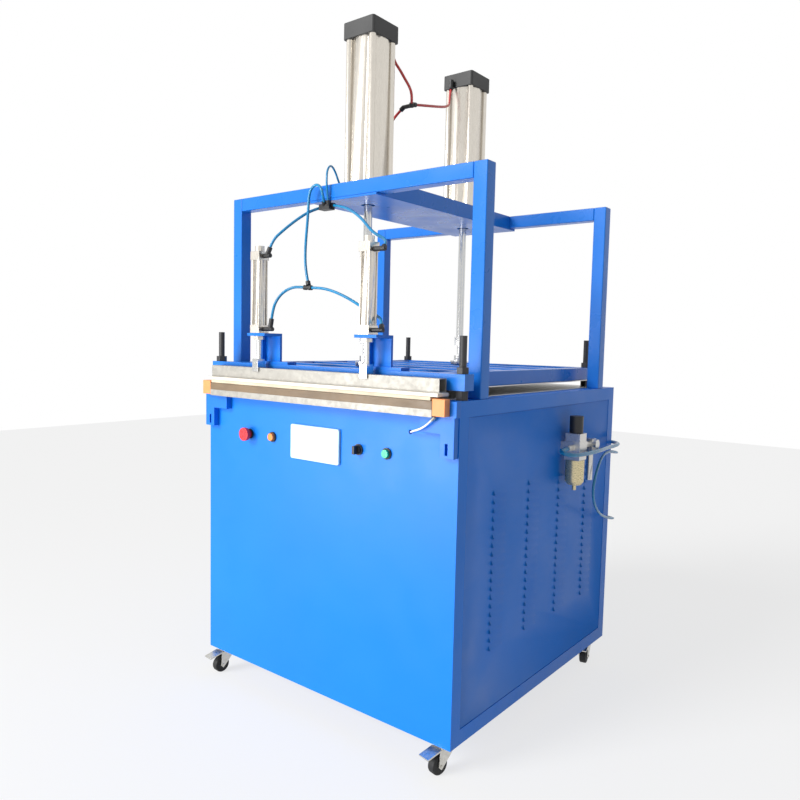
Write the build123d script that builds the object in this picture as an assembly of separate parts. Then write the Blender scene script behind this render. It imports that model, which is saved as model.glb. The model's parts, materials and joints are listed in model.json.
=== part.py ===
from build123d import *
import os
from math import cos, radians, sin, tan

# Vacuum compression packaging machine: a cabinet on casters with a pneumatic press platen
# under a two-frame gantry, and a heat-sealing jaw along the front edge of the table.
# X runs to the right of someone facing the control panel, Y to the back and Z up from the floor.
# Positions are counted from the middle of the cabinet, and move by ORIGIN_SHIFT when written.

# Driving dimensions, in millimetres
CABINET_WIDTH = 950.0
CABINET_DEPTH = 936.0
CABINET_HEIGHT = 866.0
CASTER_HEIGHT = 80.0
TUBE = 40.0
GANTRY_HEIGHT = 580.0
PRESS_STROKE = 350.0
JAW_STROKE = 50.0
PLATEN_GAP = 21.0
HOSE = 8.0
THIN_HOSE = 6.0
SUPPLY_HOSE = 12.0
CABLE = 5.0

# Levels and faces that follow from them
TABLE = CASTER_HEIGHT + CABINET_HEIGHT
GANTRY_TOP = TABLE + GANTRY_HEIGHT
HALF_WIDTH = CABINET_WIDTH / 2
FRONT = -CABINET_DEPTH / 2
REAR = CABINET_DEPTH / 2
FRONT_FRAME = -379.0
REAR_FRAME = 336.0
PLATFORM_HALF = 126.0
PLATFORM_PLATE = 6.0
PLATEN_BOTTOM = TABLE + PLATEN_GAP
PLATEN_SHEET = 3.0
PLATEN_TOP = PLATEN_BOTTOM + PLATEN_SHEET + TUBE
PLATEN_SIDE = 404.0
PLATEN_END = 457.0
FRONT_BAR_HALF = 479.0

# Press cylinders
PRESS_Y = (-267.0, 235.0)
PRESS_CAP = 115.0
PRESS_CAP_HEIGHT = 46.0
PRESS_BARREL = 409.0
PRESS_BORE = 50.0
PRESS_ROD = 12.5

# Jaw cylinders
JAW_X = (-223.0, 196.0)
JAW_Y = -485.0
JAW_CAP = 38.0
JAW_BORE = 16.0
JAW_ROD = 7.5

# Stop bolts that set the lowest height of the platen
STOP_BOLTS = ((-459.0, -437.0), (459.0, -437.0), (-384.0, 437.0), (384.0, 437.0))
BOLT_RADIUS = 9.0

# Casters: swivel axis, then the way each one trails
CASTER_X = 435.0
CASTER_Y = 425.0
TRAIL = 30.0
WHEEL_RADIUS = 25.0
WHEEL_WIDTH = 22.0
CASTERS = {
    "front_left": (-CASTER_X, -CASTER_Y, -95.0),
    "front_right": (CASTER_X, -CASTER_Y, -102.0),
    "rear_left": (-CASTER_X, CASTER_Y, -84.0),
    "rear_right": (CASTER_X, CASTER_Y, -78.0),
}

# Air unit on the right-hand side
AIR_X = 513.0
AIR_Y = 100.0
BOWL_RADIUS = 27.5
INLET_RADIUS = 6.1

# Controls on the front face
CONTROL_HEIGHT = 797.0
STOP_X = -281.0
ORANGE_X = -180.0
SELECTOR_X = 158.0
GREEN_X = 255.0

# The origin is on the floor under the middle of the machine's outline
REACH_FRONT = 512.0
REACH_REAR = 503.0
ORIGIN_SHIFT = (
    (FRONT_BAR_HALF - AIR_X - BOWL_RADIUS) / 2,
    (REACH_FRONT - REACH_REAR) / 2,
    0.0,
)


def block(x0, x1, y0, y1, z0, z1):
    """A box between two corners."""
    return Pos((x0 + x1) / 2, (y0 + y1) / 2, (z0 + z1) / 2) * Box(x1 - x0, y1 - y0, z1 - z0)


def post(x, y, z0, z1, radius):
    """An upright cylinder."""
    return Pos(x, y, (z0 + z1) / 2) * Cylinder(radius, z1 - z0)


def bar_y(x, z, y0, y1, radius):
    """A cylinder lying along Y."""
    return Pos(x, (y0 + y1) / 2, z) * Rot(90, 0, 0) * Cylinder(radius, y1 - y0)


def bar_x(y, z, x0, x1, radius):
    """A cylinder lying along X."""
    return Pos((x0 + x1) / 2, y, z) * Rot(0, 90, 0) * Cylinder(radius, x1 - x0)


def hexagon(x, y, z0, z1, across_flats):
    """A nut's outline standing on z0."""
    return Pos(x, y, z0) * extrude(RegularPolygon(across_flats / 2, 6, major_radius=False), z1 - z0)


def hose_radii(points):
    """The radius of each corner of a route: as large as its two runs allow."""
    radii = []
    for before, corner, after in zip(points, points[1:], points[2:]):
        into = Vector(*corner) - Vector(*before)
        out = Vector(*after) - Vector(*corner)
        turn = into.get_angle(out)
        radii.append(0.45 * min(into.length, out.length) / tan(radians(turn / 2)))
    return radii


def hose(points, diameter=HOSE):
    """A hose along a route of straight runs joined by tangent arcs."""
    radii = hose_radii(points)
    path = FilletPolyline(*points, radius=radii)
    section = Plane(path @ 0, z_dir=path % 0) * Circle(diameter / 2)
    tube = sweep(section, path=path)
    print("hose length", round(path.length), "radii", [round(r) for r in radii])
    return tube


def collar(points, last, length=12.0, radius=7.0):
    """The round push-in socket that one end of a hose meets face to face."""
    end, beside = (points[-1], points[-2]) if last else (points[0], points[1])
    away = (Vector(*end) - Vector(*beside)).normalized()
    return Plane(origin=end, z_dir=away) * Pos(0, 0, length / 2) * Cylinder(radius, length)


# Hose routes, from the end that is nearer the air supply
UPPER_LEFT = [(-93, -372, 1465), (-106, -392, 1456), (-118, -415, 1440), (-137, -440, 1416),
              (-154, -465, 1389), (-170, -481, 1367), (-178, -485, 1345)]
UPPER_RIGHT = [(-37, -372, 1467), (5, -380, 1458), (49, -395, 1442), (97, -415, 1419),
               (132, -430, 1397), (159, -440, 1376), (185, -446, 1360), (214, -450, 1348),
               (236, -464, 1335), (243, -481, 1322)]
TEE_DROP = [(-62, -388, 1478), (-52, -404, 1497), (-62, -402, 1516), (-82, -397, 1527),
            (-100, -400, 1519), (-106, -405, 1495), (-102, -410, 1460), (-103, -412, 1421),
            (-107, -413, 1376), (-107, -416, 1327), (-95, -425, 1283), (-76, -434, 1248)]
LOWER_LEFT = [(-86, -440, 1232), (-108, -450, 1234), (-128, -458, 1228), (-144, -468, 1216),
              (-156, -478, 1197), (-165, -484, 1172), (-170, -485, 1142)]
LOWER_RIGHT = [(-54, -440, 1230), (-22, -438, 1229), (14, -436, 1222), (52, -436, 1210),
               (90, -437, 1195), (128, -441, 1178), (166, -446, 1162), (204, -456, 1149),
               (230, -470, 1138), (244, -487, 1123)]
FEED = [(-48, -386, 1480), (-48, -390, 1506), (-50, -391, 1540), (-57, -380, 1571),
        (-64, -358, 1586), (-67, -338, 1572), (-66, -326, 1548), (-65, -312, 1526),
        (-66, -296, 1504)]
PRESS_FRONT = [(20, -196, 1930), (26, -191, 1905), (38, -178, 1882), (47, -165, 1858),
               (57, -154, 1836), (58, -144, 1815), (50, -135, 1797)]
PRESS_REAR = [(50, -115, 1797), (56, -72, 1805), (56, -10, 1818), (44, 50, 1835),
              (20, 105, 1860), (-6, 143, 1893), (-15, 161, 1930)]
PRESS_FEED = [(4, -128, 1786), (-24, -128, 1768), (-46, -128, 1736), (-58, -126, 1692),
              (-64, -122, 1636), (-66, -120, 1576), (-66, -120, 1512)]
AIR_IN = [(513, 44, 784), (513, 14, 784), (518, -12, 783), (536, -24, 780), (553, -10, 776),
          (558, 20, 774), (559, 65, 772), (556, 125, 770), (549, 195, 768), (536, 270, 765),
          (523, 338, 761), (519, 384, 759), (512, 430, 758), (500, 466, 757), (483, 484, 757),
          (462, 493, 757), (438, 495, 757)]
AIR_OUT = [(438, 495, 722), (462, 493, 722), (483, 484, 723), (499, 466, 726), (508, 430, 733),
           (512, 384, 741), (516, 338, 744), (521, 297, 742), (529, 255, 732), (537, 215, 713),
           (542, 185, 687), (543, 170, 654), (540, 182, 618), (533, 218, 586), (525, 264, 560),
           (515, 315, 540), (507, 370, 522), (503, 425, 508), (497, 464, 500), (482, 484, 496),
           (461, 493, 495), (438, 495, 495)]
HEATER = [(414, -497, 899), (404, -497, 890), (393, -496, 882), (380, -495, 875), (366, -493, 870),
          (352, -489, 866), (340, -481, 862), (332, -470, 860), (328, -457, 860)]

# Each hose node with its route and its diameter
HOSES = {
    "hose_upper_left": (UPPER_LEFT, HOSE),
    "hose_upper_right": (UPPER_RIGHT, HOSE),
    "hose_tee_drop": (TEE_DROP, HOSE),
    "hose_lower_left": (LOWER_LEFT, HOSE),
    "hose_lower_right": (LOWER_RIGHT, HOSE),
    "hose_feed": (FEED, THIN_HOSE),
    "hose_press_front": (PRESS_FRONT, HOSE),
    "hose_press_rear": (PRESS_REAR, HOSE),
    "hose_press_feed": (PRESS_FEED, HOSE),
    "hose_air_supply": (AIR_IN, SUPPLY_HOSE),
    "hose_air_return": (AIR_OUT, HOSE),
    "heater_cable": (HEATER, CABLE),
}


def cabinet_body():
    """The closed housing, with pockets for the three inset panels and the push buttons."""
    body = block(-HALF_WIDTH, HALF_WIDTH, FRONT, REAR, CASTER_HEIGHT, TABLE)
    pocket = 3.0
    low = CASTER_HEIGHT + TUBE
    high = TABLE - TUBE
    body -= block(HALF_WIDTH - pocket, HALF_WIDTH, FRONT + TUBE, REAR - TUBE, low, high)
    body -= block(-HALF_WIDTH, -HALF_WIDTH + pocket, FRONT + TUBE, REAR - TUBE, low, high)
    body -= block(-HALF_WIDTH + TUBE, HALF_WIDTH - TUBE, REAR - pocket, REAR, low, high)
    for x in (STOP_X, ORANGE_X, SELECTOR_X, GREEN_X):
        body -= bar_y(x, CONTROL_HEIGHT, FRONT, FRONT + 16, 11.6)
    body -= bar_y(329, 860, FRONT, FRONT + 14, 6)
    return body


LOUVER_WIDTH = 62.0
LOUVER_PITCH = 23.0
LOUVER_HEIGHT = 15.0
LOUVER_DEPTH = 6.0
LOUVER_ROWS = 19
LOUVER_LOW = 280.0
LOUVER_COLUMNS = (-300.0, -113.0, 74.0, 261.0)
PANEL_GAP = 1.5
PANEL_SHEET = 2.0


def louvered_panel():
    """The right-hand side panel: a flat sheet with four columns of pressed louvers."""
    low = CASTER_HEIGHT + TUBE + PANEL_GAP
    high = TABLE - TUBE - PANEL_GAP
    back = HALF_WIDTH - 3
    face = back + PANEL_SHEET
    panel = block(back, face, FRONT + TUBE + PANEL_GAP, REAR - TUBE - PANEL_GAP, low, high)
    side = Plane.XZ * make_face(
        Polyline((face, 0), (face + LOUVER_DEPTH, 2), (face, LOUVER_HEIGHT), (face, 0))
    )
    louver = extrude(side, -LOUVER_WIDTH)
    louvers = []
    for y in LOUVER_COLUMNS:
        for row in range(LOUVER_ROWS):
            louvers.append(Pos(0, y, LOUVER_LOW + row * LOUVER_PITCH) * louver)
    return panel + louvers


def rear_panel():
    """A plain inset sheet with three bulkhead fittings for the air hoses."""
    low = CASTER_HEIGHT + TUBE + PANEL_GAP
    high = TABLE - TUBE - PANEL_GAP
    half = HALF_WIDTH - TUBE - PANEL_GAP
    return block(-half, half, REAR - 3, REAR - 3 + PANEL_SHEET, low, high)


def table_plate():
    """The stainless sheet that the bag lies on."""
    return block(-432, 432, -450, 450, TABLE, TABLE + 2)


def gantry_posts():
    posts = []
    for y in (FRONT_FRAME, REAR_FRAME):
        for x in (-HALF_WIDTH, HALF_WIDTH - TUBE):
            posts.append(block(x, x + TUBE, y, y + TUBE, TABLE, GANTRY_TOP))
    return Compound(posts)


def gantry_top_bars():
    half = HALF_WIDTH - TUBE
    low = GANTRY_TOP - TUBE
    return Compound([block(-half, half, y, y + TUBE, low, GANTRY_TOP) for y in (FRONT_FRAME, REAR_FRAME)])


def cylinder_platform():
    """The plate under both frames, and the two tubes on it that run from frame to frame."""
    top = GANTRY_TOP - TUBE
    rear = REAR_FRAME + TUBE
    body = block(-PLATFORM_HALF, PLATFORM_HALF, FRONT_FRAME, rear, top - PLATFORM_PLATE, top)
    for y in PRESS_Y:
        body -= post(0, y, top - PLATFORM_PLATE, top, 20)
    for side in (-1, 1):
        x = side * (PLATFORM_HALF - TUBE / 2)
        body += block(x - TUBE / 2, x + TUBE / 2, FRONT_FRAME + TUBE, REAR_FRAME, top, GANTRY_TOP)
    return body


def press_levels():
    """Heights of the foot of the lower cap, of both ends of the barrel and of the top cap's top."""
    foot = GANTRY_TOP - TUBE
    low = foot + PRESS_CAP_HEIGHT
    high = low + PRESS_BARREL
    return foot, low, high, high + PRESS_CAP_HEIGHT


def press_barrels():
    """Two profiled tubes with a lobe at each corner, where the long cap screws run."""
    foot, low, high, top = press_levels()
    profile = Circle(53.5)
    for x in (-43, 43):
        for y in (-43, 43):
            profile += Pos(x, y) * Circle(9.5)
    profile -= Circle(PRESS_BORE)
    tube = extrude(profile, high - low)
    return Compound([Pos(0, y, low) * tube for y in PRESS_Y])


def press_caps():
    """A square cap at each end of both cylinders; the lower ones let the rods through."""
    foot, low, high, top = press_levels()
    caps = []
    for y in PRESS_Y:
        outline = RectangleRounded(PRESS_CAP, PRESS_CAP, 8)
        lower = extrude(outline - Circle(PRESS_ROD + 0.06), low - foot)
        caps.append(Pos(0, y, foot) * lower)
        caps.append(Pos(0, y, high) * extrude(outline, top - high))
    return Compound(caps)


def press_rods():
    """Piston, rod, coupling nut, stud and base flange of each press cylinder."""
    foot, low, high, top = press_levels()
    rods = []
    for y in PRESS_Y:
        rod = post(0, y, PLATEN_TOP, PLATEN_TOP + 12, 30)
        rod += post(0, y, PLATEN_TOP + 12, PLATEN_TOP + 30, 18)
        rod += post(0, y, PLATEN_TOP + 30, PLATEN_TOP + 67, 8)
        rod += hexagon(0, y, PLATEN_TOP + 67, PLATEN_TOP + 95, 34)
        rod += post(0, y, PLATEN_TOP + 95, low + 6, PRESS_ROD)
        rod += post(0, y, low + 6, low + 46, PRESS_BORE - 0.3)
        rods.append(rod)
    return Compound(rods)


def platen_sheet():
    """The thin plate that presses on the bag."""
    sheet = block(-PLATEN_SIDE, PLATEN_SIDE, -PLATEN_END, PLATEN_END, PLATEN_BOTTOM, PLATEN_BOTTOM + PLATEN_SHEET)
    for x, y in STOP_BOLTS[2:]:
        sheet -= post(x, y, PLATEN_BOTTOM, PLATEN_BOTTOM + PLATEN_SHEET, BOLT_RADIUS + 0.5)
    return sheet


def platen_end_bars():
    """The front and rear tubes of the platen, drilled for the stop bolts at their ends."""
    low = PLATEN_BOTTOM + PLATEN_SHEET
    y = PLATEN_END - TUBE / 2
    bars = []
    for half, middle, bolts in ((FRONT_BAR_HALF, -y, STOP_BOLTS[:2]), (PLATEN_SIDE, y, STOP_BOLTS[2:])):
        bar = block(-half, half, middle - TUBE / 2, middle + TUBE / 2, low, PLATEN_TOP)
        for x, bolt_y in bolts:
            bar -= post(x, bolt_y, low, PLATEN_TOP, BOLT_RADIUS + 0.5)
        bars.append(bar)
    return Compound(bars)


def platen_side_bars():
    low = PLATEN_BOTTOM + PLATEN_SHEET
    end = PLATEN_END - TUBE
    bars = [block(s * 384 - 20, s * 384 + 20, -end, end, low, PLATEN_TOP) for s in (-1, 1)]
    return Compound(bars)


def platen_cross_bars():
    """Four cross tubes between the side tubes; the outer two carry the press rods."""
    low = PLATEN_BOTTOM + PLATEN_SHEET
    half = PLATEN_SIDE - TUBE
    first, last = PRESS_Y
    step = (last - first) / 3
    bars = []
    for n in range(4):
        y = first + n * step
        bars.append(block(-half, half, y - TUBE / 2, y + TUBE / 2, low, PLATEN_TOP))
    return Compound(bars)


def stop_bolts():
    """Four threaded stop bolts with a nut above and below the platen bars."""
    bolts = []
    for n, (x, y) in enumerate(STOP_BOLTS):
        under = PLATEN_BOTTOM + (PLATEN_SHEET if n < 2 else 0)
        floor = TABLE + (0.5 if n < 2 else 2.5)
        bolt = post(x, y, floor, PLATEN_TOP + 92, BOLT_RADIUS)
        bolt += hexagon(x, y, PLATEN_TOP, PLATEN_TOP + 16, 28)
        bolt += hexagon(x, y, floor, under, 28)
        bolts.append(bolt)
    return Compound(bolts)


def cylinder_brackets():
    """Two brackets that stand on the platen's front bar and carry the jaw cylinders."""
    brackets = []
    for x in JAW_X:
        foot = block(x - 18, x + 88, -455, -419, PLATEN_TOP, PLATEN_TOP + 8)
        back = block(x - 18, x + 50, -449, -441, PLATEN_TOP + 8, 1092)
        gusset = block(x - 18, x - 12, -463, -449, PLATEN_TOP + 8, 1092)
        shelf = block(x - 25, x + 50, -515 + 6, -441, 1092, 1100)
        shelf -= post(x, JAW_Y, 1092, 1100, 10)
        brackets.append(foot + back + gusset + shelf)
    return Compound(brackets)


def jaw_cylinder_caps():
    """Square end caps of the jaw cylinders, with the nose nut under the bracket."""
    half = JAW_CAP / 2
    caps = []
    for x in JAW_X:
        lower = block(x - half, x + half, JAW_Y - half, JAW_Y + half, 1100, 1124)
        lower += hexagon(x, JAW_Y, 1081, 1092, 28)
        lower += post(x, JAW_Y, 1092, 1100, 9.9)
        lower -= post(x, JAW_Y, 1081, 1124, JAW_ROD + 0.06)
        upper = block(x - half, x + half, JAW_Y - half, JAW_Y + half, 1310, 1335)
        upper += post(x, JAW_Y, 1335, 1351, 14)
        caps += [lower, upper]
    return Compound(caps)


def jaw_cylinder_barrels():
    """Round barrels with four tie rods each."""
    barrels = []
    for x in JAW_X:
        tube = post(x, JAW_Y, 1124, 1310, JAW_BORE + 2) - post(x, JAW_Y, 1124, 1310, JAW_BORE)
        barrels.append(tube)
        for dx in (-14.5, 14.5):
            for dy in (-14.5, 14.5):
                barrels.append(post(x + dx, JAW_Y + dy, 1124, 1310, 2.4))
    return Compound(barrels)


def jaw_rods():
    """Piston, rod and forked end of each jaw cylinder."""
    rods = []
    for x in JAW_X:
        rod = block(x - 12, x + 12, JAW_Y - 10, JAW_Y + 12, 999, 1025)
        rod += block(x - 12, x + 12, JAW_Y - 16, JAW_Y - 10, 988, 1025)
        rod += post(x, JAW_Y, 1025, 1132, JAW_ROD)
        rod += post(x, JAW_Y, 1132, 1147, JAW_BORE - 0.3)
        rods.append(rod)
    return Compound(rods)


def upper_jaw_beam():
    """The open-ended box section that backs the upper jaw."""
    outer = block(-432, 432, -495, -465, 965, 999)
    return outer - block(-432, 432, -493, -467, 967, 997)


def upper_jaw_lip():
    """The aluminium flange under the beam."""
    return block(-440, 440, -REACH_FRONT, -465, 956, 965)


def upper_jaw_pad():
    """The covered sealing pad under the flange."""
    return block(-417, 417, -509, -475, 946.5, 956)


def lower_jaw_bar():
    bar = block(-421.5, 421.5, -509, FRONT, 907, 925)
    return bar + collar(HEATER, False, 12, 4)


def heating_strip():
    """The covered heating strip on top of the lower jaw."""
    return block(-421.5, 421.5, -509, FRONT, 925, TABLE - 0.3)


def jaw_end_blocks():
    blocks = [block(s * 440.5 - 18.5, s * 440.5 + 18.5, -509, -487, 910, 952) for s in (-1, 1)]
    return Compound(blocks)


def jaw_brackets():
    """Slotted brackets that hold the lower jaw on the front of the cabinet."""
    brackets = []
    for s in (-1, 1):
        leg = block(432, 473, -487, FRONT, 809, 907)
        arm = block(371, 432, -487, FRONT, 866, 907)
        head = block(422, 478, -487, FRONT, 907, TABLE)
        bracket = leg + arm + head
        bracket -= block(447, 455, -487, FRONT, 816, 844)
        brackets.append(bracket if s > 0 else mirror(bracket, about=Plane.YZ))
    return Compound(brackets)


def control_display():
    """The display's bezel on the front face."""
    outline = Plane.XZ * RectangleRounded(188, 98, 6)
    return Pos(-2.5, FRONT, 795) * extrude(outline, 8)


def button_collars():
    collars = []
    for x in (STOP_X, ORANGE_X, SELECTOR_X, GREEN_X):
        collars.append(bar_y(x, CONTROL_HEIGHT, FRONT - 5, FRONT, 15) - bar_y(x, CONTROL_HEIGHT, FRONT - 5, FRONT, 11.6))
    return Compound(collars)


def mushroom_button():
    stem = bar_y(STOP_X, CONTROL_HEIGHT, FRONT - 16, FRONT + 6, 11)
    return stem + bar_y(STOP_X, CONTROL_HEIGHT, FRONT - 28, FRONT - 16, 20)


def push_button(x):
    return bar_y(x, CONTROL_HEIGHT, FRONT - 12, FRONT + 6, 11)


def selector_knob():
    body = bar_y(SELECTOR_X, CONTROL_HEIGHT, FRONT - 10, FRONT + 6, 11)
    return body + block(SELECTOR_X - 4, SELECTOR_X + 4, FRONT - 24, FRONT - 10, CONTROL_HEIGHT - 11, CONTROL_HEIGHT + 11)


def air_unit_body():
    """Filter and regulator head with its port nipples and the bracket to the panel."""
    body = block(AIR_X - 24, AIR_X + 24, AIR_Y - 25, AIR_Y + 25, 747, 802)
    body += block(AIR_X - 23, AIR_X + 23, AIR_Y - 23, AIR_Y + 23, 802, 826)
    body += bar_y(AIR_X, 784, AIR_Y - 56, AIR_Y - 25, 9)
    body += bar_y(AIR_X, 784, AIR_Y + 25, AIR_Y + 90, 9)
    body += block(HALF_WIDTH - 1, AIR_X - 24, AIR_Y - 20, AIR_Y + 20, 760, 800)
    return body


def air_unit_bowl():
    """The metal bowl with its drain."""
    bowl = post(AIR_X, AIR_Y, 682, 747, BOWL_RADIUS)
    bowl += Pos(AIR_X, AIR_Y, 677) * Cone(20, BOWL_RADIUS, 10)
    return bowl + post(AIR_X, AIR_Y, 655, 672, 6)


def air_unit_valve():
    """The shut-off valve beside the filter, with its inlet socket behind and its silencer below."""
    y = AIR_Y + 105
    body = block(AIR_X - 15, AIR_X + 12, y - 15, y + 15, 755, 800)
    body += post(AIR_X, y, 672, 755, 10)
    body += bar_x(y, 784, AIR_X + 12, AIR_X + 24, 15)
    body += bar_y(AIR_X, 784, y + 15, y + 35, 9)
    return body - bar_y(AIR_X, 784, y + 19, y + 35, INLET_RADIUS)


def regulator_knob():
    return post(AIR_X, AIR_Y, 827, 877, 20)


def upper_manifold():
    """The manifold under the front top bar that feeds the jaw cylinders."""
    body = block(-84, -44, -386, -362, 1456, 1472)
    body += block(-70, -58, -374, -362, 1472, GANTRY_TOP - TUBE - PLATFORM_PLATE)
    body += collar(UPPER_LEFT, False, 16)
    body += collar(UPPER_RIGHT, False)
    body += collar(TEE_DROP, False, 14)
    return body + collar(FEED, False, 12, 5.5)


def press_elbow(route, last, y_face, toward):
    """An elbow on the side of a press cylinder's top cap."""
    end = route[-1] if last else route[0]
    x = end[0] - 3
    y = y_face - toward * 10.5
    body = post(x, y, 1940, 1964, 8) + bar_y(x, 1955, min(y, y_face), max(y, y_face), 7)
    return body + collar(route, last)


def rear_elbow(route, last):
    """A bulkhead elbow on the rear panel."""
    end = route[-1] if last else route[0]
    return bar_y(424, end[2], REAR - 1, REACH_REAR, 7.5) + collar(route, last, 14)


def pipe_fittings():
    """Elbows, tees and bulkhead fittings that the hoses plug into."""
    plate = GANTRY_TOP - TUBE
    red_tee = bar_x(-127.5, 1793, 12, 48, 6) + collar(PRESS_FRONT, True)
    red_tee += collar(PRESS_REAR, False) + collar(PRESS_FEED, False)
    return Compound([
        upper_manifold(),
        press_elbow(PRESS_FRONT, False, PRESS_Y[0] + PRESS_CAP / 2, -1),
        press_elbow(PRESS_REAR, True, PRESS_Y[1] - PRESS_CAP / 2, 1),
        red_tee,
        post(-66, -120, plate, 1512, 8),
        post(-66, -291, plate, 1496, 7) + collar(FEED, True, 12, 5),
        rear_elbow(AIR_IN, True),
        rear_elbow(AIR_OUT, False),
        rear_elbow(AIR_OUT, True),
    ])


def jaw_fittings():
    """Elbows on the jaw cylinders and the tee that hangs between them."""
    left, right = (x + JAW_CAP / 2 for x in JAW_X)
    tee = bar_x(-439.5, 1231, -80, -60, 6) + collar(TEE_DROP, True)
    tee += collar(LOWER_LEFT, False, 10) + collar(LOWER_RIGHT, False, 10)
    return Compound([
        bar_x(-486, 1322, left, -176, 6.5) + collar(UPPER_LEFT, True, 22),
        bar_x(-488, 1316, right, 252, 6.5) + collar(UPPER_RIGHT, True),
        bar_x(-485, 1112, left, -165, 6) + collar(LOWER_LEFT, True, 28),
        bar_x(-490, 1112, right, 252, 6) + collar(LOWER_RIGHT, True),
        tee,
    ])


def caster_plates():
    """Mounting plates and swivel races under the cabinet's corners."""
    plates = []
    for x, y, yaw in CASTERS.values():
        plate = block(x - 30, x + 30, y - 30, y + 30, CASTER_HEIGHT - 3, CASTER_HEIGHT)
        plate += post(x, y, 68.3, CASTER_HEIGHT - 3, 20)
        plate -= post(x, y, 68.3, CASTER_HEIGHT - 3, 5.06)
        plates.append(plate)
    return Compound(plates)


def caster_fork(x, y, yaw):
    """Swivel fork with its axle and brake pedal, trailing along +X before it is turned."""
    fork = post(0, 0, 64, 68, 21)
    fork += post(0, 0, 68, 75, 5)
    for side in (-1, 1):
        outline = Plane.XZ * make_face(
            Polyline((-16, 64), (TRAIL + 4, 64), (TRAIL + 9, 25), (TRAIL, 16), (TRAIL - 9, 25), (-16, 64))
        )
        leg = extrude(outline, 2.5)
        fork += Pos(0, side * 14.5 + 1.25, 0) * leg
    fork += Pos(11, 0, 66) * Box(50, 31.5, 4)
    fork += Pos(TRAIL, 0, WHEEL_RADIUS) * Rot(90, 0, 0) * Cylinder(4, 36)
    fork += Pos(56, 0, 63) * Rot(0, 12, 0) * Box(46, 34, 4)
    return Pos(x, y, 0) * Rot(0, 0, yaw) * fork


def caster_wheel(x, y, yaw):
    """A tyred wheel on its axle."""
    wheel = Cylinder(WHEEL_RADIUS, WHEEL_WIDTH) - Cylinder(4.06, WHEEL_WIDTH)
    wheel = fillet(wheel.edges().filter_by(GeomType.CIRCLE).sort_by(SortBy.RADIUS)[-2:], 4)
    placed = Pos(TRAIL, 0, WHEEL_RADIUS) * Rot(90, 0, 0) * wheel
    return Pos(x, y, 0) * Rot(0, 0, yaw) * placed


def build_parts():
    """Every node by name."""
    right_panel = louvered_panel()
    parts = {
        "cabinet_body": cabinet_body(),
        "side_panels": Compound([right_panel, mirror(right_panel, about=Plane.YZ)]),
        "rear_panel": rear_panel(),
        "table_plate": table_plate(),
        "gantry_posts": gantry_posts(),
        "gantry_top_bars": gantry_top_bars(),
        "cylinder_platform": cylinder_platform(),
        "press_cylinder_barrels": press_barrels(),
        "press_cylinder_caps": press_caps(),
        "press_rods": press_rods(),
        "platen_sheet": platen_sheet(),
        "platen_end_bars": platen_end_bars(),
        "platen_side_bars": platen_side_bars(),
        "platen_cross_bars": platen_cross_bars(),
        "stop_bolts": stop_bolts(),
        "jaw_cylinder_brackets": cylinder_brackets(),
        "jaw_cylinder_caps": jaw_cylinder_caps(),
        "jaw_cylinder_barrels": jaw_cylinder_barrels(),
        "jaw_fittings": jaw_fittings(),
        "jaw_rods": jaw_rods(),
        "upper_jaw_beam": upper_jaw_beam(),
        "upper_jaw_lip": upper_jaw_lip(),
        "upper_jaw_pad": upper_jaw_pad(),
        "lower_jaw_bar": lower_jaw_bar(),
        "heating_strip": heating_strip(),
        "jaw_end_blocks": jaw_end_blocks(),
        "jaw_brackets": jaw_brackets(),
        "control_display": control_display(),
        "button_collars": button_collars(),
        "stop_button": mushroom_button(),
        "orange_button": push_button(ORANGE_X),
        "selector_knob": selector_knob(),
        "green_button": push_button(GREEN_X),
        "air_unit_body": air_unit_body(),
        "air_unit_bowl": air_unit_bowl(),
        "air_unit_valve": air_unit_valve(),
        "regulator_knob": regulator_knob(),
        "pipe_fittings": pipe_fittings(),
        "caster_plates": caster_plates(),
    }
    for name, place in CASTERS.items():
        parts["caster_fork_" + name] = caster_fork(*place)
        parts["caster_wheel_" + name] = caster_wheel(*place)
    for name, (points, diameter) in HOSES.items():
        parts[name] = hose(points, diameter)
    return parts


os.makedirs("parts", exist_ok=True)
for node, shape in build_parts().items():
    export_step(Pos(*ORIGIN_SHIFT) * shape, "parts/" + node + ".step")
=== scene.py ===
"""The looks of a vacuum compression packaging machine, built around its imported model.

Positions are written in millimetres from the middle of the cabinet: x to the right of a person who faces
the controls, y to the back and z up from the floor. at() turns them into the frame's metres.
"""
import json
import math

import bmesh
import bpy
from mathutils import Matrix, Vector

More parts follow.
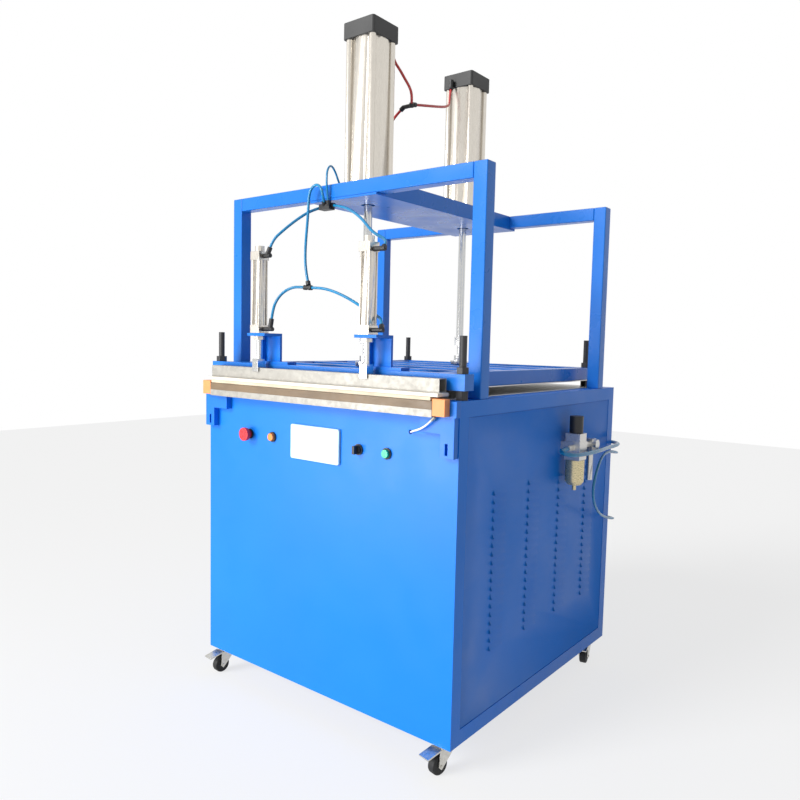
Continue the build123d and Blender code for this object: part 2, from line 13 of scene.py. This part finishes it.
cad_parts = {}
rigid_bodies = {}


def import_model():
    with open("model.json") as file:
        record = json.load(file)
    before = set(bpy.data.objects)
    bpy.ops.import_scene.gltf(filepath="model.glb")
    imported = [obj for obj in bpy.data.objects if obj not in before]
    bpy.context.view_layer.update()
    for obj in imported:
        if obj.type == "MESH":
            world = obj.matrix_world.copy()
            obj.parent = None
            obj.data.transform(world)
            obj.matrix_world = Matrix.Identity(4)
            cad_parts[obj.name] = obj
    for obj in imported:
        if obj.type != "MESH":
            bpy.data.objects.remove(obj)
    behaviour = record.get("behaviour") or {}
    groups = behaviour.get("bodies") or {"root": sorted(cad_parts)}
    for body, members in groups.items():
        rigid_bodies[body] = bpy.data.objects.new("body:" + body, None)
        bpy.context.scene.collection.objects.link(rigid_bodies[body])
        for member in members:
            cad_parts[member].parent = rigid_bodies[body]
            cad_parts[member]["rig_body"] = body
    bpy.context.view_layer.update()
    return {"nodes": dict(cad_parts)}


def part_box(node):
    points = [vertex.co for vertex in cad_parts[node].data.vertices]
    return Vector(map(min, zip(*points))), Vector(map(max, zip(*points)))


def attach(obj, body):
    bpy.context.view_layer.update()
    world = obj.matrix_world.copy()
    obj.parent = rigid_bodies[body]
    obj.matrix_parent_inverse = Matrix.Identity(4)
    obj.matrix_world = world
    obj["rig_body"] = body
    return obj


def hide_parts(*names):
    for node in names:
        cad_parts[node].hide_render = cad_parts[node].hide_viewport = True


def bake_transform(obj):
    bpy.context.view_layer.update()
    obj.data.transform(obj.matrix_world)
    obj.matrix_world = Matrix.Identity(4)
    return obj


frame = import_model()
NODES = frame["nodes"]

MM = 0.001
CABINET_LOW, CABINET_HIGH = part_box("cabinet_body")
MIDDLE = (CABINET_LOW + CABINET_HIGH) / 2


def at(x, y, z):
    """A point counted in millimetres from the cabinet's middle, at floor level, in the frame's metres."""
    return Vector((MIDDLE.x + x * MM, MIDDLE.y + y * MM, z * MM))


# Camera, solved from the photograph's edges

CAMERA_AT = (1411.0, -1885.2, 1084.9)
CAMERA_YAW = math.radians(38.261)
CAMERA_PITCH = math.radians(-4.661)
CAMERA_ROLL = math.radians(1.262)
CAMERA_LENS = 32.327


def make_camera():
    data = bpy.data.cameras.new("camera")
    data.lens = CAMERA_LENS
    data.sensor_width = 36.0
    camera = bpy.data.objects.new("camera", data)
    bpy.context.scene.collection.objects.link(camera)
    flat = math.cos(CAMERA_PITCH)
    ahead = Vector((-math.sin(CAMERA_YAW) * flat, math.cos(CAMERA_YAW) * flat, math.sin(CAMERA_PITCH)))
    level = Vector((math.cos(CAMERA_YAW), math.sin(CAMERA_YAW), 0))
    above = level.cross(ahead)
    right = level * math.cos(CAMERA_ROLL) + above * math.sin(CAMERA_ROLL)
    up = above * math.cos(CAMERA_ROLL) - level * math.sin(CAMERA_ROLL)
    turn = Matrix((right, up, -ahead)).transposed().to_4x4()
    camera.matrix_world = Matrix.Translation(at(*CAMERA_AT)) @ turn
    bpy.context.scene.camera = camera


make_camera()


# Materials

def linear(r, g, b):
    """An 0 to 255 colour as the eye sees it, as the linear colour that a shader takes."""
    return [((c / 255 + 0.055) / 1.055) ** 2.4 if c > 10 else c / 255 / 12.92 for c in (r, g, b)] + [1.0]


def shade(color, factor):
    return [min(1.0, c * factor) for c in color[:3]] + [1.0]


class Surface:
    """A material under construction: a Principled shader with textures in the frame's metres."""

    def __init__(self, name, rough=0.5, metallic=0.0, specular=0.5):
        self.material = bpy.data.materials.new(name)
        self.material.use_nodes = True
        self.tree = self.material.node_tree
        self.shader = self.tree.nodes["Principled BSDF"]
        self.shader.inputs["Roughness"].default_value = rough
        self.shader.inputs["Metallic"].default_value = metallic
        self.shader.inputs["Specular IOR Level"].default_value = specular
        self.place = self.tree.nodes.new("ShaderNodeTexCoord")
        self.height = None

    def node(self, kind, **values):
        made = self.tree.nodes.new(kind)
        for key, value in values.items():
            setattr(made, key, value)
        return made

    def link(self, source, target):
        self.tree.links.new(source, target)

    def mapped(self, stretch):
        """Texture coordinates in metres, stretched along each axis."""
        mapping = self.node("ShaderNodeMapping")
        mapping.inputs["Scale"].default_value = stretch
        self.link(self.place.outputs["Object"], mapping.inputs["Vector"])
        return mapping.outputs["Vector"]

    def noise(self, scale, detail=3.0, stretch=(1, 1, 1), distortion=0.0):
        texture = self.node("ShaderNodeTexNoise")
        texture.inputs["Scale"].default_value = scale
        texture.inputs["Detail"].default_value = detail
        texture.inputs["Distortion"].default_value = distortion
        self.link(self.mapped(stretch), texture.inputs["Vector"])
        return texture.outputs["Fac"]

    def ramp(self, source, stops):
        """Colours or grey values along a texture."""
        made = self.node("ShaderNodeValToRGB")
        elements = made.color_ramp.elements
        while len(elements) < len(stops):
            elements.new(0.5)
        for element, (position, color) in zip(elements, stops):
            element.position = position
            element.color = color if hasattr(color, "__len__") else (color, color, color, 1.0)
        self.link(source, made.inputs["Fac"])
        return made.outputs["Color"]

    def color(self, source):
        self.link(source, self.shader.inputs["Base Color"])
        return self

    def mottle(self, color, scale, spread, detail=4.0, stretch=(1, 1, 1)):
        """The base colour, varying a little from place to place."""
        texture = self.noise(scale, detail, stretch)
        return self.color(self.ramp(texture, [(0.3, shade(color, 1 - spread)), (0.7, shade(color, 1 + spread))]))

    def gloss(self, low, high, scale, detail=3.0, stretch=(1, 1, 1)):
        """Roughness that varies between two values."""
        self.link(self.ramp(self.noise(scale, detail, stretch), [(0.3, low), (0.7, high)]),
                  self.shader.inputs["Roughness"])
        return self

    def bump(self, source, strength, distance):
        """Relief from a height, on top of what is there."""
        made = self.node("ShaderNodeBump")
        made.inputs["Strength"].default_value = strength
        made.inputs["Distance"].default_value = distance
        self.link(source, made.inputs["Height"])
        if self.height is not None:
            self.link(self.height, made.inputs["Normal"])
        self.height = made.outputs["Normal"]
        self.link(self.height, self.shader.inputs["Normal"])
        return self


def painted(name, color, rough, specular, peel=0.25):
    """Powder coat: an even colour with fine orange peel and slow, faint waves of the sheet below."""
    s = Surface(name, rough, 0.0, specular)
    s.mottle(color, 2.2, 0.04)
    s.gloss(rough - 0.06, rough + 0.06, 9.0)
    s.bump(s.noise(420.0, 2.0), peel, 0.0004)
    s.bump(s.noise(3.0, 1.0), 0.12, 0.004)
    return s.material


def brushed(name, color, rough, stretch, metallic=1.0):
    """Bare metal with fine lines along its length."""
    s = Surface(name, rough, metallic)
    s.mottle(color, 40.0, 0.10, 6.0, stretch)
    s.gloss(rough - 0.08, rough + 0.1, 60.0, 5.0, stretch)
    s.bump(s.noise(220.0, 3.0, stretch), 0.12, 0.0003)
    return s.material


def galvanised(name, color):
    """Zinc-coated steel: patches of spangle in slightly different greys, with dull streaks."""
    s = Surface(name, 0.45, 0.55)
    cells = s.node("ShaderNodeTexVoronoi")
    cells.inputs["Scale"].default_value = 95.0
    s.link(s.mapped((1, 1, 1)), cells.inputs["Vector"])
    mix = s.node("ShaderNodeMix", data_type="RGBA")
    mix.inputs["Factor"].default_value = 0.5
    s.link(s.ramp(cells.outputs["Color"], [(0.2, shade(color, 0.84)), (0.8, shade(color, 1.12))]), mix.inputs["A"])
    s.link(s.ramp(s.noise(14.0, 6.0, (1, 1, 2.5)), [(0.3, shade(color, 0.86)), (0.72, shade(color, 1.12))]),
           mix.inputs["B"])
    s.color(mix.outputs["Result"])
    s.gloss(0.36, 0.58, 70.0)
    s.bump(s.noise(160.0, 3.0), 0.1, 0.0004)
    return s.material


def moulded(name, color, rough, specular=0.5, grain=0.2):
    """Plastic with a fine moulded grain."""
    s = Surface(name, rough, 0.0, specular)
    s.mottle(color, 60.0, 0.06)
    s.gloss(rough - 0.05, rough + 0.07, 120.0)
    s.bump(s.noise(900.0, 2.0), grain, 0.0002)
    return s.material


def coated_cloth(name, color, rough):
    """Glass cloth coated with fluoropolymer: a fine weave below a slick, blotchy film."""
    s = Surface(name, rough, 0.0, 0.45)
    s.mottle(color, 22.0, 0.2, 6.0, (0.4, 1, 1))
    weave = s.node("ShaderNodeTexBrick")
    weave.inputs["Scale"].default_value = 600.0
    s.link(s.mapped((1, 1, 1)), weave.inputs["Vector"])
    s.bump(weave.outputs["Fac"], 0.25, 0.0002)
    s.bump(s.noise(35.0, 3.0), 0.25, 0.001)
    s.gloss(rough - 0.1, rough + 0.1, 40.0)
    return s.material


def hose_plastic(name, color, clear):
    """Polyurethane tube: glossy, slightly see-through at its rim."""
    s = Surface(name, 0.22, 0.0, 0.5)
    s.mottle(color, 30.0, 0.12)
    s.gloss(0.16, 0.3, 50.0)
    s.bump(s.noise(260.0, 2.0), 0.06, 0.0002)
    s.shader.inputs["Subsurface Weight"].default_value = clear
    s.shader.inputs["Subsurface Radius"].default_value = (0.004, 0.004, 0.004)
    return s.material


AZURE = linear(8, 118, 222)
FRAME_AZURE = linear(24, 116, 212)
MATERIALS = {
    "cabinet_paint": painted("cabinet_paint", AZURE, 0.36, 0.3),
    "frame_paint": painted("frame_paint", FRAME_AZURE, 0.3, 0.35, 0.18),
    "bracket_paint": painted("bracket_paint", linear(8, 112, 215), 0.34, 0.35),
    "stainless_sheet": brushed("stainless_sheet", linear(190, 188, 184), 0.3, (2, 40, 2)),
    "zinc_plate": brushed("zinc_plate", linear(205, 203, 196), 0.34, (3, 3, 3)),
    "black_steel": moulded("black_steel", linear(38, 38, 40), 0.42, 0.5, 0.3),
    "barrel_metal": brushed("barrel_metal", linear(214, 208, 198), 0.3, (30, 30, 1.0)),
    "cap_metal": painted("cap_metal", linear(58, 58, 58), 0.5, 0.4, 0.4),
    "rod_chrome": brushed("rod_chrome", linear(205, 205, 203), 0.14, (6, 6, 40)),
    "beam_metal": galvanised("beam_metal", linear(160, 157, 150)),
    "lip_paint": painted("lip_paint", linear(236, 228, 214), 0.4, 0.4, 0.1),
    "pad_cover": coated_cloth("pad_cover", linear(205, 190, 165), 0.45),
    "strip_cover": coated_cloth("strip_cover", linear(118, 98, 74), 0.4),
    "orange_plastic": moulded("orange_plastic", linear(236, 150, 88), 0.45),
    "display_plastic": moulded("display_plastic", linear(196, 226, 232), 0.4),
    "black_plastic": moulded("black_plastic", linear(30, 30, 31), 0.4),
    "red_plastic": moulded("red_plastic", linear(214, 44, 52), 0.28, 0.5, 0.05),
    "amber_plastic": moulded("amber_plastic", linear(244, 140, 60), 0.28, 0.5, 0.05),
    "green_plastic": moulded("green_plastic", linear(20, 178, 138), 0.28, 0.5, 0.05),
    "air_unit_metal": brushed("air_unit_metal", linear(206, 205, 202), 0.34, (4, 4, 4)),
    "bowl_guard": brushed("bowl_guard", linear(214, 200, 160), 0.3, (3, 3, 12), 0.7),
    "blue_hose": hose_plastic("blue_hose", linear(22, 130, 180), 0.1),
    "red_hose": hose_plastic("red_hose", linear(206, 62, 60), 0.2),
    "white_cable": hose_plastic("white_cable", linear(232, 232, 230), 0.0),
    "tyre": moulded("tyre", linear(26, 26, 27), 0.6, 0.4, 0.3),
}


# Hoses: each one's route, real length and diameter in millimetres, and its material slot

ROUTES = {
    "hose_upper_left": ([(-93, -372, 1465), (-106, -392, 1456), (-118, -415, 1440), (-137, -440, 1416),
                         (-154, -465, 1389), (-170, -481, 1367), (-178, -485, 1345)], 191, 8, "blue_hose"),
    "hose_upper_right": ([(-37, -372, 1467), (5, -380, 1458), (49, -395, 1442), (97, -415, 1419),
                          (132, -430, 1397), (159, -440, 1376), (185, -446, 1360), (214, -450, 1348),
                          (236, -464, 1335), (243, -481, 1322)], 343, 8, "blue_hose"),
    "hose_tee_drop": ([(-62, -388, 1478), (-52, -404, 1497), (-62, -402, 1516), (-82, -397, 1527),
                       (-100, -400, 1519), (-106, -405, 1495), (-102, -410, 1460), (-103, -412, 1421),
                       (-107, -413, 1376), (-107, -416, 1327), (-95, -425, 1283), (-76, -434, 1248)],
                      367, 8, "blue_hose"),
    "hose_lower_left": ([(-86, -440, 1232), (-108, -450, 1234), (-128, -458, 1228), (-144, -468, 1216),
                         (-156, -478, 1197), (-165, -484, 1172), (-170, -485, 1142)], 150, 8, "blue_hose"),
    "hose_lower_right": ([(-54, -440, 1230), (-22, -438, 1229), (14, -436, 1222), (52, -436, 1210),
                          (90, -437, 1195), (128, -441, 1178), (166, -446, 1162), (204, -456, 1149),
                          (230, -470, 1138), (244, -487, 1123)], 332, 8, "blue_hose"),
    "hose_feed": ([(-48, -386, 1480), (-48, -390, 1506), (-50, -391, 1540), (-57, -380, 1571),
                   (-64, -358, 1586), (-67, -338, 1572), (-66, -326, 1548), (-65, -312, 1526),
                   (-66, -296, 1504)], 222, 6, "blue_hose"),
    "hose_press_front": ([(20, -196, 1930), (26, -191, 1905), (38, -178, 1882), (47, -165, 1858),
                          (57, -154, 1836), (58, -144, 1815), (50, -135, 1797)], 155, 8, "red_hose"),
    "hose_press_rear": ([(50, -115, 1797), (56, -72, 1805), (56, -10, 1818), (44, 50, 1835),
                         (20, 105, 1860), (-6, 143, 1893), (-15, 161, 1930)], 333, 8, "red_hose"),
    "hose_press_feed": ([(4, -128, 1786), (-24, -128, 1768), (-46, -128, 1736), (-58, -126, 1692),
                         (-64, -122, 1636), (-66, -120, 1576), (-66, -120, 1512)], 297, 8, "red_hose"),
    "hose_air_supply": ([(513, 44, 784), (513, 14, 784), (518, -12, 783), (536, -24, 780), (553, -10, 776),
                         (558, 20, 774), (559, 65, 772), (556, 125, 770), (549, 195, 768), (536, 270, 765),
                         (523, 338, 761), (519, 384, 759), (512, 430, 758), (500, 466, 757), (483, 484, 757),
                         (462, 493, 757), (438, 495, 757)], 649, 12, "blue_hose"),
    "hose_air_return": ([(438, 495, 722), (462, 493, 722), (483, 484, 723), (499, 466, 726), (508, 430, 733),
                         (512, 384, 741), (516, 338, 744), (521, 297, 742), (529, 255, 732), (537, 215, 713),
                         (542, 185, 687), (543, 170, 654), (540, 182, 618), (533, 218, 586), (525, 264, 560),
                         (515, 315, 540), (507, 370, 522), (503, 425, 508), (497, 464, 500), (482, 484, 496),
                         (461, 493, 495), (438, 495, 495)], 825, 8, "blue_hose"),
    "heater_cable": ([(414, -497, 899), (404, -497, 890), (393, -496, 882), (380, -495, 875), (366, -493, 870),
                      (352, -489, 866), (340, -481, 862), (332, -470, 860), (328, -457, 860)],
                     114, 5, "white_cable"),
}
CROSSING = ("hose_upper_left", "hose_upper_right", "hose_tee_drop")
ON_PLATEN = ("hose_lower_left", "hose_lower_right")


def smooth_curve(name, points, radius=0.0):
    """A NURBS line with the route's points as its control points."""
    data = bpy.data.curves.new(name, "CURVE")
    data.dimensions = "3D"
    data.resolution_u = 10
    data.bevel_depth = radius
    data.bevel_resolution = 5
    data.use_fill_caps = radius > 0
    spline = data.splines.new("NURBS")
    spline.points.add(len(points) - 1)
    for point, place in zip(spline.points, points):
        point.co = (*at(*place), 1.0)
    spline.order_u = 3
    spline.use_endpoint_u = True
    made = bpy.data.objects.new(name, data)
    bpy.context.scene.collection.objects.link(made)
    return made


def as_mesh(maker):
    """The mesh that a curve or an object with modifiers stands for."""
    bpy.context.view_layer.update()
    seen = maker.evaluated_get(bpy.context.evaluated_depsgraph_get())
    return bpy.data.meshes.new_from_object(seen)


def add(name, mesh, slot, body=None):
    """A new piece from a mesh in the frame's metres."""
    made = bpy.data.objects.new(name, mesh)
    bpy.context.scene.collection.objects.link(made)
    mesh.materials.clear()
    mesh.materials.append(MATERIALS[slot])
    if body:
        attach(made, body)
    return made


def make_hoses():
    for name, (points, length, diameter, slot) in ROUTES.items():
        line = smooth_curve("line", points)
        path = [vertex.co.copy() for vertex in as_mesh(line).vertices]
        line.data.bevel_depth = diameter * MM / 2
        line.data.use_fill_caps = True
        mesh = as_mesh(line)
        bpy.data.objects.remove(line)
        mesh.shade_smooth()
        body = None if name in CROSSING else "platen" if name in ON_PLATEN else "machine"
        tube = add(name + "_tube", mesh, slot, body)
        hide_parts(name)
        if name in CROSSING:
            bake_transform(tube)


make_hoses()


# The other CAD nodes, with their edges eased

def eased(node, slot, radius, segments=2, angle=32):
    """A copy of a CAD node with small round edges, which stands for it."""
    made = bpy.data.objects.new(node + "_eased", NODES[node].data.copy())
    bpy.context.scene.collection.objects.link(made)
    bm = bmesh.new()
    bm.from_mesh(made.data)
    bmesh.ops.remove_doubles(bm, verts=bm.verts, dist=1e-5)
    bmesh.ops.dissolve_limit(bm, angle_limit=math.radians(0.6), verts=bm.verts, edges=bm.edges)
    bm.to_mesh(made.data)
    bm.free()
    made.data.shade_smooth()
    if radius:
        bevel = made.modifiers.new("bevel", "BEVEL")
        bevel.width = radius * MM
        bevel.segments = segments
        bevel.limit_method = "ANGLE"
        bevel.angle_limit = math.radians(angle)
        bevel.harden_normals = False
    normals = made.modifiers.new("normals", "WEIGHTED_NORMAL")
    normals.keep_sharp = True
    mesh = as_mesh(made)
    bpy.data.objects.remove(made)
    mesh.set_sharp_from_angle(angle=math.radians(40))
    made = add(node + "_eased", mesh, slot, NODES[node]["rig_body"])
    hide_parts(node)
    return made


CORNERS = ("front_left", "front_right", "rear_left", "rear_right")
EASED = {
    "cabinet_body": ("cabinet_paint", 2.0), "rear_panel": ("cabinet_paint", 0.6),
    "side_panels": ("cabinet_paint", 0.0),
    "table_plate": ("stainless_sheet", 0.6), "gantry_posts": ("frame_paint", 3.0),
    "gantry_top_bars": ("frame_paint", 3.0), "cylinder_platform": ("frame_paint", 1.5),
    "press_cylinder_barrels": ("barrel_metal", 0.0), "press_cylinder_caps": ("cap_metal", 1.5),
    "press_rods": ("rod_chrome", 0.6), "platen_sheet": ("stainless_sheet", 0.6),
    "platen_end_bars": ("frame_paint", 2.5), "platen_side_bars": ("frame_paint", 2.5),
    "platen_cross_bars": ("frame_paint", 2.5), "stop_bolts": ("black_steel", 0.6),
    "jaw_cylinder_brackets": ("bracket_paint", 1.0), "jaw_cylinder_caps": ("barrel_metal", 0.8),
    "jaw_cylinder_barrels": ("barrel_metal", 0.0), "jaw_fittings": ("black_plastic", 0.6),
    "jaw_rods": ("rod_chrome", 0.6), "upper_jaw_beam": ("beam_metal", 0.6),
    "upper_jaw_lip": ("lip_paint", 1.5), "upper_jaw_pad": ("pad_cover", 1.0),
    "lower_jaw_bar": ("beam_metal", 0.6), "heating_strip": ("strip_cover", 0.6),
    "jaw_end_blocks": ("orange_plastic", 1.5), "jaw_brackets": ("bracket_paint", 1.0),
    "control_display": ("display_plastic", 1.5), "button_collars": ("black_plastic", 0.8),
    "stop_button": ("red_plastic", 1.5), "orange_button": ("amber_plastic", 1.0),
    "selector_knob": ("black_plastic", 1.0), "green_button": ("green_plastic", 1.0),
    "air_unit_body": ("air_unit_metal", 1.0), "air_unit_bowl": ("bowl_guard", 1.0),
    "air_unit_valve": ("air_unit_metal", 0.8), "regulator_knob": ("black_plastic", 1.0),
    "pipe_fittings": ("black_plastic", 0.6), "caster_plates": ("zinc_plate", 0.4),
}
for corner in CORNERS:
    EASED["caster_fork_" + corner] = ("zinc_plate", 0.4)
    EASED["caster_wheel_" + corner] = ("tyre", 0.0)

for node, (slot, radius) in EASED.items():
    eased(node, slot, radius)


# Floor and light

def light_path_mask(tree):
    """1 for what the camera sees by itself or in metal and glass, 0 for light that falls on surfaces."""
    path = tree.nodes.new("ShaderNodeLightPath")
    total = path.outputs["Is Camera Ray"]
    for name in ("Is Glossy Ray", "Is Transmission Ray"):
        join = tree.nodes.new("ShaderNodeMath")
        join.operation = "MAXIMUM"
        tree.links.new(total, join.inputs[0])
        tree.links.new(path.outputs[name], join.inputs[1])
        total = join.outputs[0]
    return total


AMBIENT = 0.34
FLOOR_SIZE = 14.0
FLOOR_WHITE_SHARE = 0.72


def make_world():
    world = bpy.data.worlds.new("world")
    bpy.context.scene.world = world
    world.use_nodes = True
    tree = world.node_tree
    tree.nodes.clear()
    out = tree.nodes.new("ShaderNodeOutputWorld")
    mix = tree.nodes.new("ShaderNodeMixShader")
    ambient = tree.nodes.new("ShaderNodeBackground")
    ambient.inputs["Color"].default_value = (1.0, 1.0, 1.0, 1.0)
    ambient.inputs["Strength"].default_value = AMBIENT
    white = tree.nodes.new("ShaderNodeBackground")
    white.inputs["Color"].default_value = (1.0, 1.0, 1.0, 1.0)
    white.inputs["Strength"].default_value = 1.0
    tree.links.new(light_path_mask(tree), mix.inputs[0])
    tree.links.new(ambient.outputs[0], mix.inputs[1])
    tree.links.new(white.outputs[0], mix.inputs[2])
    tree.links.new(mix.outputs[0], out.inputs["Surface"])


def make_floor():
    half = FLOOR_SIZE / 2
    mesh = bpy.data.meshes.new("floor")
    mesh.from_pydata([(-half, -half, 0), (half, -half, 0), (half, half, 0), (-half, half, 0)], [], [(0, 1, 2, 3)])
    floor = bpy.data.objects.new("floor", mesh)
    bpy.context.scene.collection.objects.link(floor)
    material = bpy.data.materials.new("floor")
    material.use_nodes = True
    tree = material.node_tree
    tree.nodes.clear()
    out = tree.nodes.new("ShaderNodeOutputMaterial")
    matte = tree.nodes.new("ShaderNodeBsdfDiffuse")
    matte.inputs["Color"].default_value = (0.8, 0.8, 0.8, 1.0)
    glow = tree.nodes.new("ShaderNodeEmission")
    share = tree.nodes.new("ShaderNodeMath")
    share.operation = "MULTIPLY"
    share.inputs[1].default_value = FLOOR_WHITE_SHARE
    mix = tree.nodes.new("ShaderNodeMixShader")
    tree.links.new(light_path_mask(tree), share.inputs[0])
    tree.links.new(share.outputs[0], mix.inputs[0])
    tree.links.new(matte.outputs[0], mix.inputs[1])
    tree.links.new(glow.outputs[0], mix.inputs[2])
    tree.links.new(mix.outputs[0], out.inputs["Surface"])
    mesh.materials.append(material)


def make_lamp(name, kind, place, target, energy, size):
    data = bpy.data.lights.new(name, kind)
    data.energy = energy
    if kind == "SUN":
        data.angle = size
    else:
        data.shape = "RECTANGLE"
        data.size, data.size_y = size
    lamp = bpy.data.objects.new(name, data)
    bpy.context.scene.collection.objects.link(lamp)
    lamp.location = at(*place)
    lamp.rotation_euler = (at(*target) - at(*place)).to_track_quat("-Z", "Y").to_euler()


make_world()
make_floor()
make_lamp("key", "SUN", (-1400, -3200, 2600), (0, 0, 700), 2.6, math.radians(24))
make_lamp("low_fill", "AREA", (-900, -3000, 500), (0, -400, 300), 60.0, (2.4, 1.0))
bpy.context.scene.view_settings.view_transform = "Standard"
